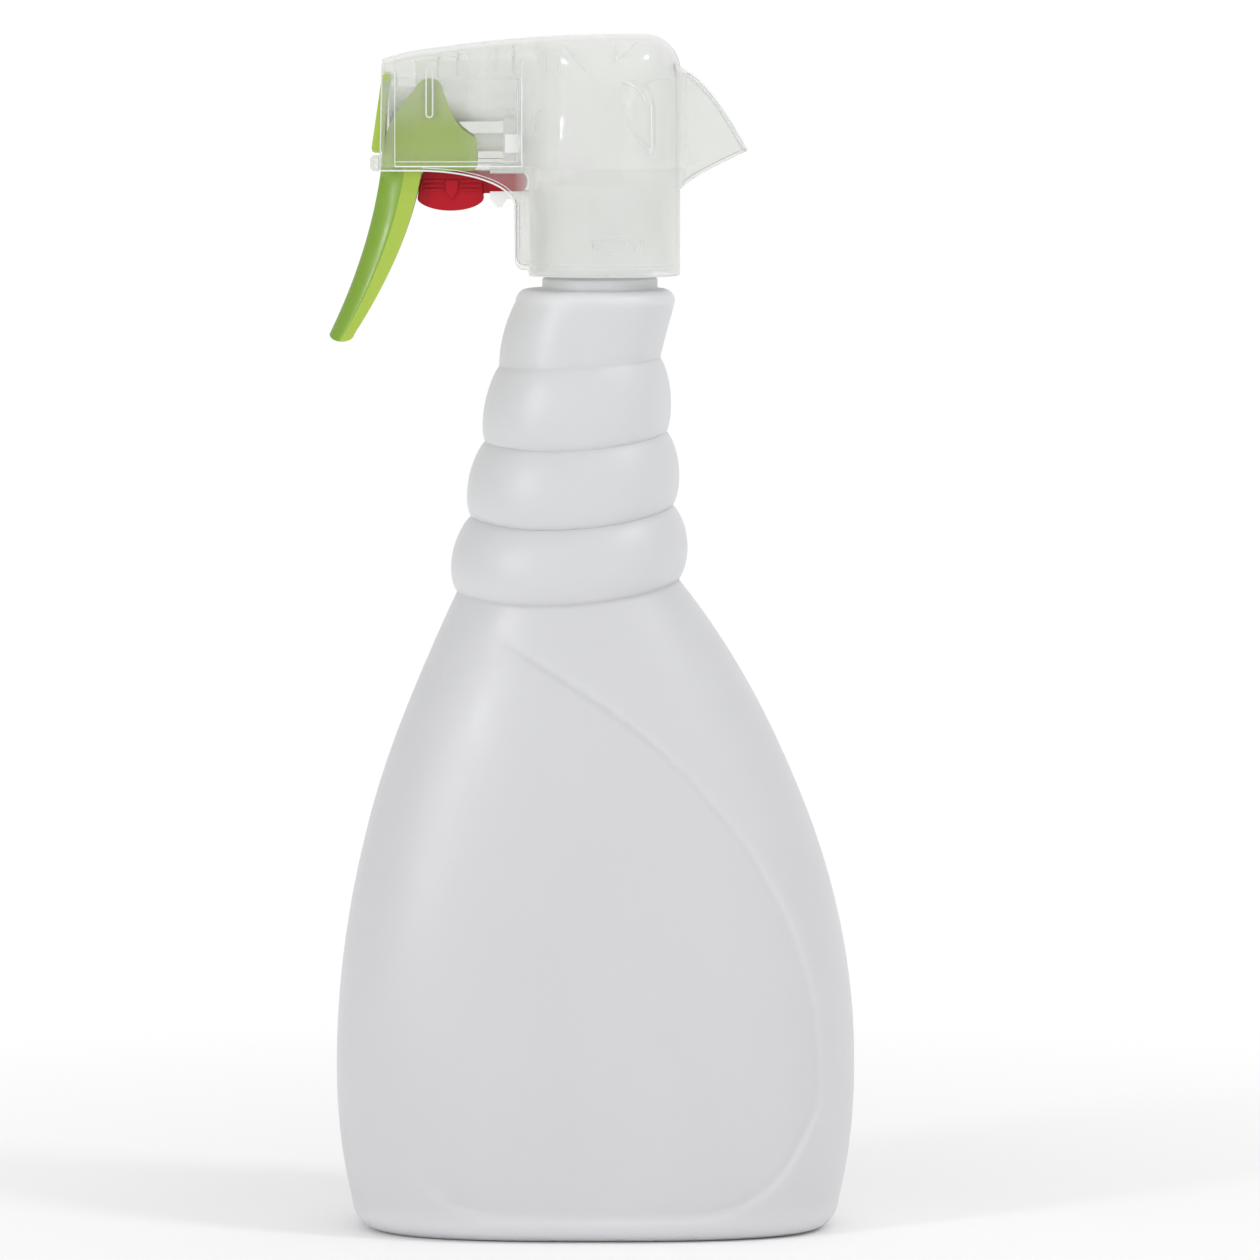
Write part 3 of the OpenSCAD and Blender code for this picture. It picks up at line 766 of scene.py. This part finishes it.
def bead(line, radius, sink=0.0, surface=side_y):
    """A thin round bead along a line of (x, z) points on both sides of the shroud, in the pale opaque
    plastic of the painted edge highlight.
    """
    longest = 0.7
    points = []
    for (x0, z0), (x1, z1) in zip(line, line[1:]):
        count = max(1, int(math.hypot(x1 - x0, z1 - z0) / longest))
        points += [(mix(x0, x1, k / count), mix(z0, z1, k / count)) for k in range(count)]
    points.append(line[-1])
    made = []
    for side in (-1, 1):
        path = [Vector((x, side * (surface(x, z) - sink), z)) for x, z in points]
        verts = []
        for k, here in enumerate(path):
            along = (path[min(k + 1, len(path) - 1)] - path[max(k - 1, 0)]).normalized()
            out = Vector((0, side, 0))
            out = (out - along * out.dot(along)).normalized()
            across = along.cross(out)
            for s in range(6):
                a = 2 * math.pi * s / 6
                verts.append(here + radius * (math.cos(a) * out + math.sin(a) * across))
        faces = grid_faces(len(path), 6, closed=True)
        faces += [tuple(reversed(range(6))), tuple((len(path) - 1) * 6 + s for s in range(6))]
        made.append(new_object("bead", verts, faces, EDGE_HIGHLIGHT))
    return made


def arch_line(right, up):
    """The arch behind the trigger, from the chin back to the strip's top, moved right and up."""
    return [(ARCH_X + ARCH_LONG * math.sin(a) + right, STRIP_TOP + up + (RAIL_Z - STRIP_TOP) * math.cos(a))
            for a in spaced(0, math.pi / 2, 20)[1:]]


def shroud_beads():
    """Raised edges in a pale opaque plastic, which paints the highlights that clear edges catch: window
    frame, foot, strip, skirt, and the ridges on the dome.
    """
    x0, x1 = WINDOW_X
    z0, z1 = WINDOW_Z
    beads = bead([(x0, z1 + 1.5), (x0, z0)], 0.10)
    beads += bead([(x0, z0), (x1, z0), (x1, z1 + 4)], 0.17)
    beads += bead([(x0, z0 + 1.1), (x1 - 1.1, z0 + 1.1), (x1 - 1.1, z1 + 2)], 0.13, WINDOW_SINK)
    # front edge, foot, arch and strip
    beads += bead([(FRONT_X + 0.1, SHROUD_TOP - 7), (FRONT_X - 0.45, RAIL_Z + 0.2)], 0.2, 0.1)
    rail = [(FRONT_X - 0.4, RAIL_Z + 0.2), (ARCH_X, RAIL_Z + 0.2)]
    beads += bead(rail + arch_line(0, 0.15), 0.22)
    beads += bead([(ARCH_X, RAIL_Z + 0.9)] + arch_line(0.5, 0.75)[:-4], 0.1)
    foot = [(STRIP_FOOT - 1.85 * math.cos(a), SKIRT_Z + 3.75 - 1.95 * math.sin(a))
            for a in spaced(0, math.pi / 2, 8)]
    beads += bead([(STRIP_X + 0.15, STRIP_TOP)] + foot + [(-16.6, SKIRT_Z + 1.8)], 0.16, 0.1)
    inner = [(x + 0.75, z + 0.75) for x, z in foot]
    beads += bead([(STRIP_X + 0.9, STRIP_TOP)] + inner + [(-16.2, SKIRT_Z + 2.55)], 0.08, 0.05)
    # skirt: its bottom edge, a line above it and a plain frame for a mark
    beads += bead([(x, SKIRT_Z + 0.2) for x in spaced(-15.6, 18.4, 40)], 0.14, 0.08)
    beads += bead([(x, SKIRT_Z + 2.6) for x in spaced(-15.0, 17.6, 40)], 0.07)
    beads += bead([(-1.6, 237), (-1.6, 238.6), (6.6, 238.6), (6.6, 235.8), (-1.6, 235.8), (-1.6, 237)], 0.06)
    for x in (8.2, 9.1, 10.0):
        beads += bead([(x, 235.8), (x, 238.4)], 0.06)
    # ridges on the roof and the dome
    beads += bead([(-8.2, 284.2), (-5.6, 280.8), (-2.4, 277.8)], 0.09)
    beads += bead([(3.2, 285.2), (4.0, 280.8), (5.4, 281.4), (8.6, 285.2)], 0.08)
    for x in (-26.6, -20.6, -13.0, -9.6):
        beads += bead([(x, top_line(x) - 3.2), (x, top_line(x) - 8.0)], 0.05)
    beads += bead([(10.3, 275.6), (14.8, 276.6), (18.6, 276.0)], 0.1)
    # arcs round the bumps and the edge of the hollow
    beads += bead([(-13.2 - 2.1 * math.sin(a), 264.5 - 5 * math.cos(a)) for a in spaced(1.2, 2.7, 12)], 0.09)
    beads += bead([(4.6 + 6.4 * math.sin(a), 269.4 + 6.6 * math.cos(a)) for a in spaced(0.1, 1.25, 14)], 0.1)
    beads += bead([(8.8, 262.2), (12.2, 258.6), (12.4, 261.0), (12.2, 270.6)], 0.11)
    # tail: its top edge and its lower edge
    for edge in ([(x, tail_top(x) - 0.7) for x in spaced(TAIL_CREST, TAIL_END - 0.8, 24)],
                 [(x, tail_low(x) + 0.3) for x in spaced(TAIL_X + 1.5, TAIL_END - 0.8, 24)]):
        beads += bead(edge, 0.12, 0.05, lambda x, z: tail_half(x))
    return beads


def slot_outline():
    """Slot that keeps the trigger on its stud: two ribs and a rounded foot."""
    middle, foot, top = PIVOT.x + 0.1, 268.0, 278.4
    outer, inner = 0.95, 0.6
    outline = [(middle + outer * math.cos(a), foot + outer * math.sin(a))
               for a in spaced(math.pi, 2 * math.pi, 10)]
    outline += [(middle + outer, top), (middle + inner, top)]
    outline += [(middle + inner * math.cos(a), foot + inner * math.sin(a))
                for a in spaced(2 * math.pi, math.pi, 10)]
    return outline + [(middle - inner, top), (middle - outer, top)]


def make_chin():
    """A rounded ledge under the nozzle, with a small lip above and below."""
    rows = []
    for up, lip in ((0.0, 0.35), (0.4, 0.0), (2.8, 0.0), (3.2, 0.35)):
        z = RAIL_Z + up
        front = [(-52.3 - (2.6 - lip) * math.cos(a) ** 0.6, (BARREL_HALF - 0.1 - lip) * math.sin(a), z)
                 for a in spaced(-math.pi / 2 + 0.001, math.pi / 2 - 0.001, 24)]
        back = [(-51.7 if abs(y) > SHROUD_INSIDE else -52.75, y, z) for _, y, _ in reversed(front)]
        rows.append(front + back)
    count = len(rows[0])
    faces = grid_faces(len(rows), count, closed=True)
    faces += [tuple(range(count)), tuple(range(3 * count, 4 * count))]
    return new_object("chin", [p for r in rows for p in r], faces, CLEAR)


def shroud_details():
    """Raised edges and slot ribs in the pale opaque plastic of the painted edge highlight, the ribs inside
    the shroud and the chin under the nozzle.
    """
    parts = shroud_beads() + [make_chin()]
    for side in (-1, 1):
        y0, y1 = sorted((side * (SHROUD_INSIDE - 1.0), side * (SHROUD_INSIDE - 0.05)))
        parts.append(prism("slot", slot_outline(), y0, y1, EDGE_HIGHLIGHT))
        for x in (-38.4, -33.8, -24.6, -20.6):
            top = top_line(x) - SHROUD_WALL - 0.2
            parts.append(block((x - 0.25, y0, top - 5.5), (x + 0.25, y1, top), CLEAR, 0.1))
    return parts


# ---------------------------------------------------------------- trigger

TRIGGER_HALF = 8.0
CHEEK_T = 1.5
WEB_T = 1.5
BLADE_DROP = 39.0
BLADE_STEPS = 26
FRONT_SHARE = 0.6    # share of the blade's depth that its round front takes
PAD_ROOM = 5.6       # half the width of the channel that takes the lock's pad


def blade_front(t):
    """Front edge of the finger blade at a drop t under the shroud's rail."""
    return -52.2 - 0.145 * t - 0.00443 * t * t


def blade_rear(t):
    """Rear edge of the finger blade at a drop t under the shroud's rail."""
    return -42.4 - 0.1765 * t - 0.00613 * t * t


def blade_edge(curve):
    return [(curve(t), RAIL_Z - t) for t in spaced(0, BLADE_DROP, BLADE_STEPS)]


def blade_tip():
    """Round end of the finger blade."""
    x0, x1 = blade_front(BLADE_DROP), blade_rear(BLADE_DROP)
    z = RAIL_Z - BLADE_DROP
    return [(x0 + (x1 - x0) * (1 - math.cos(a)) / 2, z - 1.7 * math.sin(a))
            for a in spaced(0.15, math.pi - 0.15, 9)]


def cheek_top():
    """Cheek inside the shroud, from its front foot up round the eye and down to its rear foot."""
    eye_r = 3.4
    points = [(-52.0, RAIL_Z + 1.6), (-51.2, 262), (-50.2, 265)]
    points += [(-48.7, 267.8), (-47.0, 270.4), (-45.4, 272.2)]
    points += [(PIVOT.x + eye_r * math.cos(a), PIVOT.z + eye_r * math.sin(a))
               for a in spaced(math.radians(160), math.radians(5), 14)]
    points += [(-36.6, 271.6), (-35.6, 269.0), (-34.4, 266.4)]
    points += [(-33.0, 264.6), (-31.2, 263.2), (-29.3, 262.2)]
    points += [(-29.3, RAIL_Z + 1.0), (-29.9, RAIL_Z + 0.2), (-31.0, RAIL_Z)]
    return points


def corner_cutter(side):
    """What is taken off the blade's square edge to make its front a round finger rest."""
    wide = TRIGGER_HALF + 0.04
    rows = []
    for t in [-1.6, -0.8] + spaced(0, BLADE_DROP, BLADE_STEPS) + [BLADE_DROP + 1.5, BLADE_DROP + 3]:
        front, rear = blade_front(t), blade_rear(t)
        grow = ease((t + 1.6) / 3)
        bite = mix(2.6, 3.4, ease((t - 6) / 4))
        row = [(front - 3, TRIGGER_HALF + 2)]
        # the curve starts just in front of the blade, so that it meets its face at a clear angle
        y_start = wide - grow * (2.0 + bite)
        row += [(front - 3, y_start), (front - 0.15, y_start)]
        for a in spaced(0, math.pi / 2, 12)[1:]:
            u = 1 - math.cos(a)
            y = wide - grow * (1.4 * (1 - u) + bite * (1 - math.sin(a)))
            row.append((front + FRONT_SHARE * (rear - front) * u, y))
        row.append((front + FRONT_SHARE * (rear - front), TRIGGER_HALF + 2))
        rows.append([(x, side * y, RAIL_Z - t) for x, y in row])
    count = len(rows[0])
    faces = grid_faces(len(rows), count, closed=True)
    faces += [tuple(range(count)), tuple((len(rows) - 1) * count + k for k in range(count))]
    return new_object("cutter", [p for r in rows for p in r], faces, GREEN)


def make_trigger():
    outline = cheek_top() + blade_edge(blade_rear) + list(reversed(blade_tip()))
    outline += list(reversed(blade_edge(blade_front)))
    body = prism("trigger_body", outline, -TRIGGER_HALF, TRIGGER_HALF, GREEN)
    inside = TRIGGER_HALF - CHEEK_T
    full_drop, fade = 6.5, 3.5  # the channel keeps its depth this far down, then halves
    # hollow between the cheeks, and the narrower channel under it that takes the lock's pad
    front = [(x + mix(WEB_T, 0.5 * (rear_x - x), ease((RAIL_Z - z - full_drop) / fade)), z)
             for (x, z), (rear_x, _) in zip(blade_edge(blade_front), blade_edge(blade_rear))
             if z > RAIL_Z - BLADE_DROP + 1.5]
    above = [(-49.7, 262.0), (-49.7, 262.3), (-56, 264), (-56, 290), (-20, 290)]
    above += [(-20, RAIL_Z - 0.6), front[0]]
    below = [(front[0][0], RAIL_Z + 0.6), (-20, RAIL_Z + 0.6), (-20, 240), (-40, 205)]
    below += list(reversed(front))
    hollow = prism("hollow", above, -inside, inside, GREEN)
    channel = prism("channel", below, -PAD_ROOM, PAD_ROOM, GREEN)
    combine(body, [hollow, channel, corner_cutter(-1), corner_cutter(1)], "DIFFERENCE")
    # bar that pushes the piston
    bar = [(-31.4, 256.4), (-31.4, 261.6), (-29.9, 261.6), (-29.9, 256.4)]
    combine(body, [prism("bar", bar, -inside - 0.2, inside + 0.2, GREEN)], "UNION")
    soften(body, 0.35, 3)
    # blind holes for the studs, with a thin skin over them
    stud_r, skin = 1.95, 0.08
    eye = disc(PIVOT.x, PIVOT.z, stud_r)
    combine(body, [prism("eye", eye, skin - TRIGGER_HALF, TRIGGER_HALF - skin, GREEN)], "DIFFERENCE")
    # painted shade: the blade's round front gets a darker copy of the green. It stands in for the shade on
    # the front and for the light that passes through the thin sides but not through the solid front
    body.data.materials.append(SHADED_GREEN)
    for poly in body.data.polygons:
        x, _, z = poly.center / MM
        t = RAIL_Z - z
        curved = abs(poly.normal.y) < 0.985
        if curved and -1 < t < BLADE_DROP + 3 and x < mix(blade_front(t), blade_rear(t), FRONT_SHARE):
            poly.material_index = 1
    body.name = "trigger_blade"
    soften_normals(body)
    piece(body, "trigger", "green_pp", "trigger")


def make_flap():
    """The green plate over the nozzle, with its knuckle, its studs and two side walls."""
    half = SHROUD_INSIDE - 0.3
    hinge = Vector((-50.8, 0, 276.4))
    slope = 2.7 / 17.8
    foot = 258.8
    outline = [(hinge.x - 1, hinge.z + 0.6), (hinge.x - 1 - slope * 16.4, foot + 1.1),
               (hinge.x - 0.8 - slope * 16.4, foot + 0.3), (hinge.x - slope * 17, foot),
               (hinge.x + 0.9 - slope * 17, foot), (hinge.x + 0.9, hinge.z)]
    plate = prism("flap_plate", outline, -half, half, GREEN)
    for radius, reach in ((1.2, half - 0.01), (1.1, half + 1.2)):
        roll = prism("roll", disc(hinge.x, hinge.z, radius), -reach, reach, GREEN)
        combine(plate, [roll], "UNION")
    foot_x = hinge.x + 0.5 - slope * 17
    side = [(hinge.x, 270.5), (foot_x, foot + 0.3), (hinge.x - 0.5, foot + 0.3)]
    for y0, y1 in ((-half, 1.1 - half), (half - 1.1, half)):
        combine(plate, [prism("side", side, y0 + 0.02, y1 - 0.02, GREEN)], "UNION")
    soften(plate, 0.25, 3)
    soften_normals(plate)
    piece(plate, "nozzle_flap", "green_pp", "nozzle_flap")


# ---------------------------------------------------------------- trigger lock


def make_lock():
    """The red pad with its ribs and shield, and the bar that slides in the guide."""
    top = high("trigger_lock").z
    bar_z = 248.9
    pad_half = 4.8
    outline = [(-42.2, top), (-43.2, 249.9)]
    outline += [(-35.6 + 8.2 * math.cos(a), 248.4 + 3.6 * math.sin(a))
                for a in spaced(math.radians(195), math.radians(345), 20)]
    outline += [(-28.0, 250), (-28.2, top)]
    pad = prism("lock_pad", outline, -pad_half, pad_half, RED)
    bar = [(-30, bar_z), (-20, bar_z)]
    middle, radius = (bar_z + top) / 2, (top - bar_z) / 2
    bar += [(-20 + radius * math.cos(a), middle + radius * math.sin(a))
            for a in spaced(-math.pi / 2, math.pi / 2, 16)]
    bar += [(-30, top)]
    combine(pad, [prism("bar", bar, -3, 3, RED)], "UNION")
    soften(pad, 0.4, 3)
    parts = [pad]
    for side in (-1, 1):
        y0, y1 = sorted((side * (pad_half - 0.1), side * (pad_half + 0.55)))
        for x0, x1 in ((-42.0, -37.2), (-33.4, -28.6)):
            for k in range(3):
                z = 249.5 + 1.1 * k
                parts.append(block((x0, y0, z), (x1, y1, z + 0.55), RED, 0.14))
        shield = [(-36.9, 252.2), (-36.6, 249.2), (-35.3, 247.4), (-34.0, 249.2), (-33.7, 252.2)]
        boss = prism("shield", shield, y0, y1, RED)
        soften(boss, 0.15, 2)
        parts.append(boss)
    lock = join(parts)
    lock.name = "lock_slider"
    soften_normals(lock)
    piece(lock, "trigger_lock", "red_pp", "trigger_lock")


# ---------------------------------------------------------------- springs


def coil(name, node, turns, wire):
    """A drawn coil along X in the box of a CAD spring."""
    a, b = low(node), high(node)
    radius = (b.z - a.z) / 2 - wire
    centre_z = (a.z + b.z) / 2
    steps, sides = int(turns * 28), 10
    verts = []
    for k in range(steps + 1):
        angle = 2 * math.pi * turns * k / steps
        x = mix(a.x + wire, b.x - wire, ease_ends(k / steps))
        for s in range(sides):
            c = 2 * math.pi * s / sides
            r = radius + wire * math.cos(c)
            verts.append((x + wire * math.sin(c), r * math.cos(angle), centre_z + r * math.sin(angle)))
    faces = grid_faces(steps + 1, sides, closed=True)
    faces += [tuple(range(sides)), tuple(steps * sides + s for s in reversed(range(sides)))]
    obj = new_object(name, verts, faces, STEEL)
    piece(obj, "head", "steel", node)
    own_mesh(obj)


def ease_ends(t):
    """Closes up the first and last coil of a spring."""
    return t - 0.035 * math.sin(2 * math.pi * t)


# ---------------------------------------------------------------- CAD nodes that stay


def dress(nodes, material):
    """Gives CAD nodes a material. Their meshes stay as they are."""
    for name in nodes:
        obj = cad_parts[name]
        if not obj.material_slots:
            obj.data.materials.append(material)
        for slot in obj.material_slots:
            slot.material = material


def make_object():
    make_bottle()
    make_shroud()
    make_trigger()
    make_flap()
    make_lock()
    coil("return_coil", "return_spring", 6, 0.4)
    coil("outlet_coil", "outlet_spring", 4, 0.25)
    dress(["closure_nut", "pump_body", "passage_plug", "tube_retainer", "tube_filter", "piston",
           "outlet_valve", "swirl_plug", "nozzle_tip"], NATURAL)
    dress(["bottle_gasket", "dip_tube", "piston_cup"], SOFT)
    dress(["inlet_ball"], STEEL)
    dress(["nozzle_seal"], RUBBER)


# ---------------------------------------------------------------- studio

PAPER_WHITE = 1.02


def stage_floor():
    """A pale round floor that fades to plain white away from the object."""
    n = Nodes("paper_floor")
    tone = n.spread(n.noise(3, 3), 0.3, 0.7, 0, 1)
    paper = n.principled(Roughness=0.9)
    n.set(paper, "Base Color", n.blend(tone, (0.92, 0.92, 0.92, 1), (0.95, 0.95, 0.95, 1)))
    away = n.tree.nodes.new("ShaderNodeVectorMath")
    away.operation = "LENGTH"
    n.set(away, 0, n.coords)
    white = n.add("ShaderNodeEmission", Color=(1, 1, 1, 1), Strength=PAPER_WHITE)
    both = n.add("ShaderNodeMixShader")
    n.set(both, 0, n.spread(away.outputs["Value"], 0.10, 0.42, 0, 1))
    n.set(both, 1, paper.outputs[0])
    n.set(both, 2, white.outputs[0])
    floor = n.finish(both.outputs[0])
    radii = (60, 200, 500, 1200, 4000)
    count, level = 64, -0.02
    verts = [(0, 0, level)] + [p for r in radii for p in circle(level, r, count)]
    faces = [(0, 1 + k, 1 + (k + 1) % count) for k in range(count)]
    faces += grid_faces(len(radii), count, closed=True, start=1)
    new_object("floor", verts, faces, floor)


def lamp(name, place, target, size, power):
    """A soft box that faces a target."""
    data = bpy.data.lights.new(name, "AREA")
    data.shape = "RECTANGLE"
    data.size, data.size_y = size
    data.energy = power
    obj = bpy.data.objects.new(name, data)
    obj.location = place
    obj.rotation_euler = (Vector(target) - Vector(place)).to_track_quat("-Z", "Y").to_euler()
    bpy.context.scene.collection.objects.link(obj)


def soft_room():
    """White to look at, but darker to the left and right, which draws the edges of pale objects."""
    world = bpy.data.worlds.new("studio")
    world.use_nodes = True
    tree = world.node_tree
    background = tree.nodes["Background"]
    background.inputs["Color"].default_value = (1, 1, 1, 1)
    place = tree.nodes.new("ShaderNodeTexCoord")
    parts = tree.nodes.new("ShaderNodeSeparateXYZ")
    tree.links.new(place.outputs["Generated"], parts.inputs[0])
    least = tree.nodes.new("ShaderNodeMath")
    least.operation = "MINIMUM"
    left, right = (-1.0, -0.4, 0.26, 0.87), (0.5, 1.0, 0.87, 0.55)
    for k, limits in enumerate((left, right)):
        side = tree.nodes.new("ShaderNodeMapRange")
        for key, value in zip(("From Min", "From Max", "To Min", "To Max"), limits):
            side.inputs[key].default_value = value
        tree.links.new(parts.outputs[0], side.inputs["Value"])
        tree.links.new(side.outputs[0], least.inputs[k])
    seen = tree.nodes.new("ShaderNodeLightPath")
    level = tree.nodes.new("ShaderNodeMix")
    level.inputs[3].default_value = PAPER_WHITE
    tree.links.new(seen.outputs["Is Camera Ray"], level.inputs[0])
    tree.links.new(least.outputs[0], level.inputs[2])
    tree.links.new(level.outputs[0], background.inputs["Strength"])
    bpy.context.scene.world = world


def studio():
    soft_room()
    bpy.context.scene.view_settings.view_transform = "Standard"
    lamp("left_box", (-1.0, -0.95, 0.56), (0, 0, 0.26), (0.20, 0.34), 4.6)
    lamp("right_box", (0.95, -0.60, 1.2), (0, 0, 0.26), (0.25, 0.25), 4.4)
    lamp("top_box", (0.0, 0.1, 1.3), (0, 0, 0.15), (1.0, 0.8), 0.6)


def camera():
    """Straight on from the side, a little above, as far off as a product shot."""
    data = bpy.data.cameras.new("camera")
    obj = bpy.data.objects.new("camera", data)
    target = Vector((0.0072, 0, 0.144))
    distance, height = 2.2, 0.34
    obj.location = (target.x, -distance, height)
    aim = target - obj.location
    obj.rotation_euler = aim.to_track_quat("-Z", "Y").to_euler()
    picture_width = 0.3024  # metres across the picture, at the bottle's axis
    data.lens = data.sensor_width * aim.length / picture_width
    bpy.context.scene.collection.objects.link(obj)
    bpy.context.scene.camera = obj


make_object()
stage_floor()
studio()
camera()
